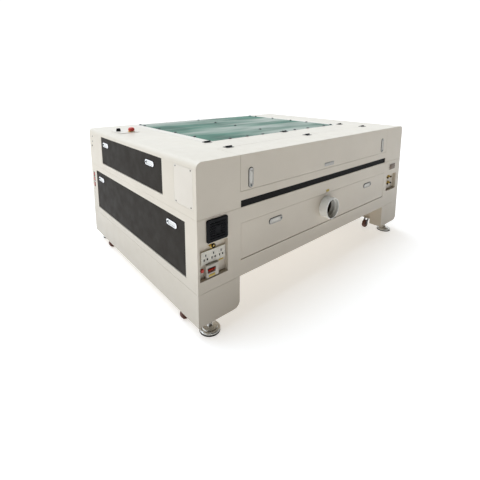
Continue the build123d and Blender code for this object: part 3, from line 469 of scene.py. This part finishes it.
def make_materials(context):
    """Fills the table of materials."""
    look = context.scene.machine_finishes
    MATERIALS.update(
        # The cabinet's coat is darkened towards the floor as painted shade
        cabinet_paint=coat("Cabinet powder coat", look.cabinet, 0.4, look.mottle, look.grain, floor_shade=0.7),
        white_paint=coat("Light powder coat", look.plates, 0.38, look.mottle, look.grain),
        dark_paint=coat("Dark door coat", look.doors, 0.62, 0.05, look.grain * 1.6, gloss=0.14),
        zinc_steel=plain_metal("Zinc-plated steel", (0.66, 0.66, 0.64), 0.28),
        dark_steel=plain_metal("Dark steel", (0.17, 0.17, 0.18), 0.45, scratch=0.1),
        black_steel=coat("Black hinge coat", (0.012, 0.012, 0.013), 0.35, 0.2, 0.1),
        black_rubber=moulded("Foot rubber", (0.02, 0.02, 0.02), 0.7, 0.2, 300.0),
        brown_tyre=moulded("Caster tyre", (0.11, 0.035, 0.022), 0.5, 0.1),
        brush_black=bristles("Slot brush", context.scene.machine_fittings.bristle_pitch),
        clear_glass=tube_glass("Tube glass"),
        tinted_sheet=sheet_material("Tinted lid sheet", look.lid_sheet),
        black_plastic=moulded("Black plastic", (0.008, 0.008, 0.009), 0.5, gloss=0.1),
        ivory_plastic=moulded("Ivory plastic", (0.68, 0.64, 0.55), 0.3, 0.03),
        grey_plastic=moulded("Grey plastic", (0.52, 0.48, 0.41), 0.4),
        yellow_plastic=moulded("Yellow plastic", (0.75, 0.47, 0.03), 0.4),
        red_plastic=moulded("Red plastic", (0.58, 0.035, 0.018), 0.3, 0.03),
        brass=plain_metal("Brass", (0.55, 0.40, 0.12), 0.3),
        aluminium=plain_metal("Aluminium", (0.72, 0.72, 0.74), 0.35, (0.04, 1, 1)),
        bronze=plain_metal("Bronze plate", (0.16, 0.12, 0.09), 0.45),
        chrome=plain_metal("Bright chrome", (0.82, 0.82, 0.83), 0.16, scratch=0.02),
        tag_yellow=moulded("Yellow tag", (0.50, 0.35, 0.05), 0.5),
        # Near-black for the lock gaskets, and painted shade in the socket slots
        hole_black=moulded("Black gasket and painted slot shade", (0.006, 0.006, 0.006), 0.8, gloss=0.1),
        collar_coat=coat("Collar coat", (0.80, 0.78, 0.72), 0.3, 0.05, 0.02),
        # A darker, duller copy of the levers' zinc steel for the rear levers: painted shade
        satin_steel=plain_metal("Lever steel with painted shade", (0.47, 0.45, 0.41), 0.45),
        # A darker, duller steel for fittings on the rear in place of the bright chrome and zinc: painted
        # shade
        dull_steel=plain_metal("Dull steel with painted shade", (0.36, 0.345, 0.32), 0.42),
        key_dark=moulded("Key barrel", (0.012, 0.035, 0.034), 0.35),
    )


def node_material(name, slot):
    """The material of a node: its slot's, unless the photograph shows another finish; the rear levers'
    darker steel is painted shade.
    """
    if name == "exhaust_collar":
        return MATERIALS["collar_coat"]
    # The rear levers take the darker steel as painted shade
    if name.startswith("lever_rear"):
        return MATERIALS["satin_steel"]
    return MATERIALS[slot]


def piece_from(name, shape, body, slot, material=None):
    """Moves a finished bmesh to the frame, frees it and lets it ride on a body as a piece."""
    bmesh.ops.transform(shape, matrix=MIDDLE, verts=shape.verts)
    bmesh.ops.recalc_face_normals(shape, faces=shape.faces)
    mesh = bpy.data.meshes.new(name)
    shape.to_mesh(mesh)
    shape.free()
    for polygon in mesh.polygons:
        polygon.use_smooth = True
    mesh.set_sharp_from_angle(angle=math.radians(SHARP_ANGLE))
    thing = bpy.data.objects.new(name, mesh)
    bpy.context.scene.collection.objects.link(thing)
    mesh.materials.append(MATERIALS[material or slot])
    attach(thing, body)


def plane_matrix(origin, u, w):
    """A matrix whose local x is u and local z is w."""
    u, w = Vector(u).normalized(), Vector(w).normalized()
    v = w.cross(u)
    turn = Matrix((u, v, w)).transposed().to_4x4()
    return Matrix.Translation(Vector(origin)) @ turn


def rear_plane(origin):
    """A local plane that faces the rear, with its x to the right as seen from there."""
    return plane_matrix(origin, LEFTWARD, REARWARD)


def side_plane(y, z):
    """A local plane on the outer face of the right side."""
    return plane_matrix((SIDE_X, y, z), REARWARD, RIGHTWARD)


def add_bevelled_box(shape, low, high, matrix, edge, segments=2):
    """Adds a box with softened edges between two local corners."""
    low, high = Vector(low), Vector(high)
    made = bmesh.ops.create_cube(shape, size=1)["verts"]
    bmesh.ops.scale(shape, vec=high - low, verts=made)
    bmesh.ops.translate(shape, vec=(low + high) / 2, verts=made)
    edges = list({e for v in made for e in v.link_edges})
    if edge:
        result = bmesh.ops.bevel(
            shape, geom=edges, offset=edge, segments=segments, affect="EDGES",
            profile=0.5, material=-1,
        )
        made = list({v for f in result["faces"] for v in f.verts} | {v for v in made if v.is_valid})
    bmesh.ops.transform(shape, matrix=matrix, verts=made)


def add_plate(shape, place, width, height, thickness, edge):
    """Adds a thin plate in the middle of a local plane, just clear of it."""
    low, high = (-width / 2, -height / 2, CLEAR), (width / 2, height / 2, thickness)
    add_bevelled_box(shape, low, high, place, edge)


def add_turned(shape, profile, matrix, segments=20):
    """Spins a profile of (radius, height) points about the local z axis."""
    start = [shape.verts.new((radius, 0, height)) for radius, height in profile]
    edges = [shape.edges.new(pair) for pair in zip(start, start[1:])]
    bmesh.ops.spin(
        shape, geom=start + edges, cent=(0, 0, 0), axis=(0, 0, 1), angle=math.tau,
        steps=segments, use_merge=True, use_duplicate=False,
    )
    made = set(start)
    stack = list(start)
    while stack:
        vert = stack.pop()
        for edge in vert.link_edges:
            other = edge.other_vert(vert)
            if other not in made:
                made.add(other)
                stack.append(other)
    bmesh.ops.remove_doubles(shape, verts=list(made), dist=1e-6)
    made = [v for v in made if v.is_valid]
    bmesh.ops.transform(shape, matrix=matrix, verts=made)


def screw(shape, matrix, radius, height):
    """A low domed screw head with a sunk middle, on a local plane."""
    profile = [(radius * across, height * up) for across, up in SCREW_PROFILE]
    add_turned(shape, profile, matrix, SCREW_SEGMENTS)


def pill_rim(shape, radius, shift):
    """Adds a circle, moves its halves apart along x and returns its edges."""
    made = bmesh.ops.create_circle(shape, cap_ends=False, segments=32, radius=radius)["verts"]
    for side in (1, -1):
        half = [v for v in made if v.co.x * side > 1e-6]
        bmesh.ops.translate(shape, vec=(side * shift, 0, 0), verts=half)
    return list(shape.edges)


def raise_rim(shape, rim, lift, along=1.0, across=1.0):
    """Extrudes a ring of edges upwards, scales the new ring and returns its edges."""
    made = bmesh.ops.extrude_edge_only(shape, edges=rim)["geom"]
    ring = [g for g in made if isinstance(g, bmesh.types.BMVert)]
    bmesh.ops.translate(shape, vec=(0, 0, lift), verts=ring)
    bmesh.ops.scale(shape, vec=(along, across, 1), verts=ring)
    return [g for g in made if isinstance(g, bmesh.types.BMEdge) and all(v in ring for v in g.verts)]


def lock_trim(radius, shift):
    """A raised pill with a slot for the lever."""
    shape = bmesh.new()
    rim = pill_rim(shape, radius, shift)
    bmesh.ops.translate(shape, vec=(0, 0, TRIM_FOOT), verts=shape.verts)
    rim = raise_rim(shape, rim, TRIM_WALL)
    outer = raise_rim(shape, rim, TRIM_CROWN, along=0.985, across=0.94)
    slot = bmesh.ops.create_grid(shape, x_segments=1, y_segments=1, size=0.5)["verts"]
    bmesh.ops.scale(shape, vec=(TRIM_SLOT_LENGTH, TRIM_SLOT_WIDTH, 1), verts=slot)
    top = TRIM_FOOT + TRIM_WALL + TRIM_CROWN
    bmesh.ops.translate(shape, vec=(TRIM_SLOT_SHIFT, 0, top), verts=slot)
    inner = list({e for v in slot for e in v.link_edges})
    filled = list({f for v in slot for f in v.link_faces})
    bmesh.ops.delete(shape, geom=filled, context="FACES_ONLY")
    bmesh.ops.triangle_fill(shape, edges=outer + inner, use_beauty=True)
    return shape


def lock_gasket(radius, shift):
    """A low rim that shows round the trim."""
    shape = bmesh.new()
    rim = pill_rim(shape, radius + GASKET_MARGIN, shift)
    for lift, along, across in GASKET_STEPS:
        rim = raise_rim(shape, rim, lift, along, across)
    return shape


def lock_key():
    """The key barrel beside the lever."""
    shape = bmesh.new()
    add_turned(shape, KEY_PROFILE, Matrix.Translation((KEY_DISTANCE, 0, 0)))
    return shape


class MACHINE_OT_finishes(bpy.types.Operator):
    """Gives every node of the frame its finish"""

    bl_idname = "machine.finishes"
    bl_label = "Finishes"

    def execute(self, context):
        make_materials(context)
        slots = {s["node"]: s["material_slot"] for s in frame["record"]["subparts"]}
        for name, thing in frame["nodes"].items():
            thing.data.materials.clear()
            thing.data.materials.append(node_material(name, slots[name]))
        return {"FINISHED"}


class MACHINE_OT_lock_trims(bpy.types.Operator):
    """Adds the trim, the gasket and the key barrel of each lock"""

    bl_idname = "machine.lock_trims"
    bl_label = "Lock trims"

    def execute(self, context):
        sizes = context.scene.machine_fittings
        radius = sizes.lock_width / 2
        shift = sizes.lock_length / 2 - radius
        for name, body, origin, u, w in LOCKS:
            place = plane_matrix(origin, u, w)
            # Rear trims take the darker steel instead of chrome: painted shade
            bright = "dull_steel" if name.startswith("rear") else "chrome"
            for kind, shape, slot, material in (
                ("trim", lock_trim(radius, shift), "zinc_steel", bright),
                ("gasket", lock_gasket(radius, shift), "black_rubber", "hole_black"),
                ("key", lock_key(), "dark_steel", "key_dark"),
            ):
                bmesh.ops.transform(shape, matrix=place, verts=shape.verts)
                piece_from(f"lock_{kind}_{name}", shape, body, slot, material)
        return {"FINISHED"}


class MACHINE_OT_lid_screws(bpy.types.Operator):
    """Adds the black screws that hold the sheet to the lid frame"""

    bl_idname = "machine.lid_screws"
    bl_label = "Lid screws"

    def execute(self, context):
        radius = context.scene.machine_fittings.sheet_screw
        shape = bmesh.new()
        for x, y in LID_SCREWS:
            screw(shape, Matrix.Translation((x, y, TOP_Z)), radius, LID_SCREW_HEIGHT)
        piece_from("lid_screws", shape, "lid", "black_steel")
        return {"FINISHED"}


class MACHINE_OT_side_screws(bpy.types.Operator):
    """Adds the screws of the cover plates and the plugs at the front edge"""

    bl_idname = "machine.side_screws"
    bl_label = "Side screws"

    def execute(self, context):
        radius = context.scene.machine_fittings.plate_screw
        shape = bmesh.new()
        for y in SIDE_PLATE_Y:
            for z in SIDE_PLATE_Z:
                screw(shape, side_plane(y, z), radius, SIDE_SCREW_HEIGHT)
        for y, z, size in EDGE_PLUGS:
            screw(shape, side_plane(y, z), radius * size, EDGE_PLUG_HEIGHT)
        for x in REAR_SCREW_X:
            place = rear_plane((x, REAR_PLATE_Y, REAR_PLATE_Z))
            screw(shape, place, radius * REAR_SCREW_SIZE, REAR_SCREW_HEIGHT)
        piece_from("side_screws", shape, "frame", "black_steel")
        return {"FINISHED"}


class MACHINE_OT_blank_plates(bpy.types.Operator):
    """Adds the bare metal plate on the rear cover and the bronze one on the rear cover plate"""

    bl_idname = "machine.blank_plates"
    bl_label = "Blank plates"

    def execute(self, context):
        shape = bmesh.new()
        place = rear_plane((BARE_X, REAR_Y, BARE_Z))
        add_plate(shape, place, BARE_WIDTH, BARE_HEIGHT, BARE_THICKNESS, PLATE_EDGE)
        for x in (-BARE_SCREW_X, BARE_SCREW_X):
            spot = place @ Matrix.Translation((x, 0, BARE_THICKNESS))
            screw(shape, spot, BARE_SCREW_RADIUS, BARE_SCREW_HEIGHT)
        piece_from("bare_plate", shape, "rear_cover_body", "zinc_steel", "dull_steel")
        shape = bmesh.new()
        place = rear_plane((BRONZE_X, REAR_PLATE_Y, REAR_PLATE_Z))
        add_plate(shape, place, BRONZE_WIDTH, BRONZE_HEIGHT, BRONZE_THICKNESS, PLATE_EDGE)
        piece_from("bronze_plate", shape, "frame", "dark_steel", "bronze")
        return {"FINISHED"}


class MACHINE_OT_tags(bpy.types.Operator):
    """Adds the plain yellow tags at the rear"""

    bl_idname = "machine.tags"
    bl_label = "Plain tags"

    def execute(self, context):
        shape = bmesh.new()
        for origin, width, height in TAGS:
            add_plate(shape, rear_plane(origin), width, height, TAG_THICKNESS, TAG_EDGE)
        piece_from("plain_tags", shape, "frame", "yellow_plastic", "tag_yellow")
        return {"FINISHED"}


class MACHINE_OT_fan_details(bpy.types.Operator):
    """Adds the raised rings, spokes and corner screws of the fan guard"""

    bl_idname = "machine.fan_details"
    bl_label = "Fan details"

    def execute(self, context):
        shape = bmesh.new()
        place = rear_plane(FAN_PLACE)
        for radius in FAN_RINGS:
            profile = [(radius + across, height) for across, height in RING_SECTION]
            add_turned(shape, profile, place, segments=40)
        for number in range(SPOKES):
            angle = math.radians(FIRST_SPOKE + 360 / SPOKES * number)
            turn = place @ Matrix.Rotation(angle, 4, "Z")
            add_bevelled_box(shape, SPOKE_LOW, SPOKE_HIGH, turn, SPOKE_EDGE, segments=1)
        for x in (-FAN_SCREW_X, FAN_SCREW_X):
            for y in (-FAN_SCREW_Y, FAN_SCREW_Y):
                spot = place @ Matrix.Translation((x, y, -FAN_SCREW_DEPTH))
                screw(shape, spot, FAN_SCREW_RADIUS, FAN_SCREW_HEIGHT)
        piece_from("fan_rings", shape, "frame", "black_plastic")
        return {"FINISHED"}


class MACHINE_OT_socket_details(bpy.types.Operator):
    """Adds dark boxes in the sockets' slots as painted shade, and the screws of their plate"""

    bl_idname = "machine.socket_details"
    bl_label = "Socket details"

    def execute(self, context):
        shape = bmesh.new()
        place = rear_plane(SOCKET_PLACE)
        # Dark boxes in the slots stand in for the shade inside them: painted shade
        for column in SOCKET_COLUMNS:
            for x, y, height in SOCKET_SLOTS:
                low = (-SLOT_WIDTH / 2, -height / 2, -SLOT_DEPTH)
                high = (SLOT_WIDTH / 2, height / 2, SLOT_PROUD)
                spot = place @ Matrix.Translation((column + x, y, 0))
                add_bevelled_box(shape, low, high, spot, edge=0)
        piece_from("socket_slot_shade", shape, "frame", "black_plastic", "hole_black")
        shape = bmesh.new()
        for x in (-SOCKET_SCREW_X, SOCKET_SCREW_X):
            spot = place @ Matrix.Translation((x, 0, 0))
            screw(shape, spot, SOCKET_SCREW_RADIUS, SOCKET_SCREW_HEIGHT)
        piece_from("socket_screws", shape, "frame", "zinc_steel")
        return {"FINISHED"}


class MACHINE_OT_pipe_rings(bpy.types.Operator):
    """Adds the black release rings of the pipe fittings"""

    bl_idname = "machine.pipe_rings"
    bl_label = "Pipe rings"

    def execute(self, context):
        shape = bmesh.new()
        for *origin, size in PIPE_MOUTHS:
            profile = [(radius * size, height) for radius, height in PIPE_RING]
            add_turned(shape, profile, rear_plane(origin))
        piece_from("pipe_rings", shape, "frame", "black_plastic")
        return {"FINISHED"}


class MACHINE_OT_breaker_face(bpy.types.Operator):
    """Adds the dark frame round the breaker's paddles"""

    bl_idname = "machine.breaker_face"
    bl_label = "Breaker face"

    def execute(self, context):
        shape = bmesh.new()
        place = rear_plane(BREAKER_PLACE)
        across, up, bar = BREAKER_ACROSS, BREAKER_UP, BREAKER_BAR
        for low, high in (
            ((-across, up - bar), (across, up)),
            ((-across, -up), (across, -up + bar)),
            ((-across, -up + bar), (-across + bar, up - bar)),
            ((across - bar, -up + bar), (across, up - bar)),
        ):
            low, high = (*low, CLEAR), (*high, BREAKER_THICKNESS)
            add_bevelled_box(shape, low, high, place, BREAKER_EDGE, segments=1)
        piece_from("breaker_frame", shape, "frame", "black_plastic")
        return {"FINISHED"}


class MACHINE_OT_tube_details(bpy.types.Operator):
    """Adds the mirror caps at the ends of the laser tube"""

    bl_idname = "machine.tube_details"
    bl_label = "Tube details"

    def execute(self, context):
        shape = bmesh.new()
        x, y, z = TUBE_END
        for side in (-1, 1):
            place = plane_matrix((side * x, y, z), REARWARD, (side, 0, 0))
            add_turned(shape, CAP_PROFILE, place, CAP_SEGMENTS)
        piece_from("tube_mirror_caps", shape, "frame", "zinc_steel", "chrome")
        return {"FINISHED"}


def set_floor(scene, studio):
    """Adds the studio's glowing floor."""
    shape = bmesh.new()
    bmesh.ops.create_grid(shape, x_segments=1, y_segments=1, size=FLOOR_HALF)
    mesh = bpy.data.meshes.new("studio_floor")
    shape.to_mesh(mesh)
    shape.free()
    floor = bpy.data.objects.new("studio_floor", mesh)
    scene.collection.objects.link(floor)
    material, tree, shader = new_material("Studio floor")
    shader.inputs["Roughness"].default_value = 0.9
    shader.inputs["Specular IOR Level"].default_value = 0.1
    wander = object_noise(tree, scale=0.4)
    tone = blend_colours(tree, wander, shade(studio.floor, 0.995), shade(studio.floor, 1.0))
    tree.links.new(tone, shader.inputs["Base Color"])
    shader.inputs["Emission Color"].default_value = GLOW_COLOUR
    shader.inputs["Emission Strength"].default_value = studio.floor_glow
    mesh.materials.append(material)


def set_light(scene, studio):
    """Sets a sky that is brighter at the front, and a broad lamp overhead."""
    world = bpy.data.worlds.new("Studio light")
    scene.world = world
    world.use_nodes = True
    tree = world.node_tree
    behind = spread(tree, split_axes(tree, "Generated")["Y"], 0.0, 1.0, *SKY_TURN)
    back = shade(SKY_REAR, studio.sky_back / studio.sky)
    glow = tree.nodes["Background"]
    tree.links.new(blend_colours(tree, behind, SKY_FRONT, back), glow.inputs["Color"])
    glow.inputs["Strength"].default_value = studio.sky

    lamp = bpy.data.lights.new("lamp_overhead", "SUN")
    lamp.energy = studio.overhead
    lamp.angle = math.radians(LAMP_ANGLE)
    lamp.color = LAMP_COLOUR
    thing = bpy.data.objects.new("lamp_overhead", lamp)
    thing.rotation_euler = Vector(LAMP_FROM).to_track_quat("Z", "Y").to_euler()
    scene.collection.objects.link(thing)


def set_camera(scene, studio):
    """Sets the camera behind the machine's right side."""
    camera = bpy.data.cameras.new("camera")
    camera.lens = studio.lens
    camera.sensor_width = 36
    camera.shift_y = studio.shift_y
    camera.clip_end = 200
    viewer = bpy.data.objects.new("camera", camera)
    look = Vector(CAMERA_LOOK).normalized()
    up = Vector(CAMERA_RIGHT).cross(look).normalized()
    right = look.cross(up)
    turn = Matrix((right, up, -look)).transposed().to_4x4()
    viewer.matrix_world = MIDDLE @ Matrix.Translation(CAMERA_PLACE) @ turn
    scene.collection.objects.link(viewer)
    scene.camera = viewer
    scene.view_settings.view_transform = "Standard"


class MACHINE_OT_studio(bpy.types.Operator):
    """Sets the floor, the light and the camera"""

    bl_idname = "machine.studio"
    bl_label = "Studio"

    def execute(self, context):
        scene = context.scene
        set_floor(scene, scene.studio_settings)
        set_light(scene, scene.studio_settings)
        set_camera(scene, scene.studio_settings)
        return {"FINISHED"}


OPERATORS = (
    MACHINE_OT_finishes,
    MACHINE_OT_lock_trims,
    MACHINE_OT_lid_screws,
    MACHINE_OT_side_screws,
    MACHINE_OT_blank_plates,
    MACHINE_OT_tags,
    MACHINE_OT_fan_details,
    MACHINE_OT_socket_details,
    MACHINE_OT_pipe_rings,
    MACHINE_OT_breaker_face,
    MACHINE_OT_tube_details,
    MACHINE_OT_studio,
)


class MACHINE_PT_panel(bpy.types.Panel):
    """Lists the pieces and their settings"""

    bl_idname = "MACHINE_PT_panel"
    bl_label = "Laser machine"
    bl_space_type = "VIEW_3D"
    bl_region_type = "UI"
    bl_category = "Laser Machine"

    def draw(self, context):
        layout = self.layout
        for group in ("machine_finishes", "machine_fittings", "studio_settings"):
            settings = getattr(context.scene, group)
            box = layout.box()
            for name in settings.__annotations__:
                box.prop(settings, name)
        for operator in OPERATORS:
            layout.operator(operator.bl_idname)


CLASSES = (MachineFinishes, MachineFittings, StudioSettings, *OPERATORS, MACHINE_PT_panel)


def register():
    for item in CLASSES:
        bpy.utils.register_class(item)
    bpy.types.Scene.machine_finishes = PointerProperty(type=MachineFinishes)
    bpy.types.Scene.machine_fittings = PointerProperty(type=MachineFittings)
    bpy.types.Scene.studio_settings = PointerProperty(type=StudioSettings)


def unregister():
    del bpy.types.Scene.studio_settings
    del bpy.types.Scene.machine_fittings
    del bpy.types.Scene.machine_finishes
    for item in reversed(CLASSES):
        bpy.utils.unregister_class(item)


def main():
    register()
    bpy.ops.machine.finishes()
    bpy.ops.machine.lock_trims()
    bpy.ops.machine.lid_screws()
    bpy.ops.machine.side_screws()
    bpy.ops.machine.blank_plates()
    bpy.ops.machine.tags()
    bpy.ops.machine.fan_details()
    bpy.ops.machine.socket_details()
    bpy.ops.machine.pipe_rings()
    bpy.ops.machine.breaker_face()
    bpy.ops.machine.tube_details()
    bpy.ops.machine.studio()


if __name__ == "__main__":
    main()
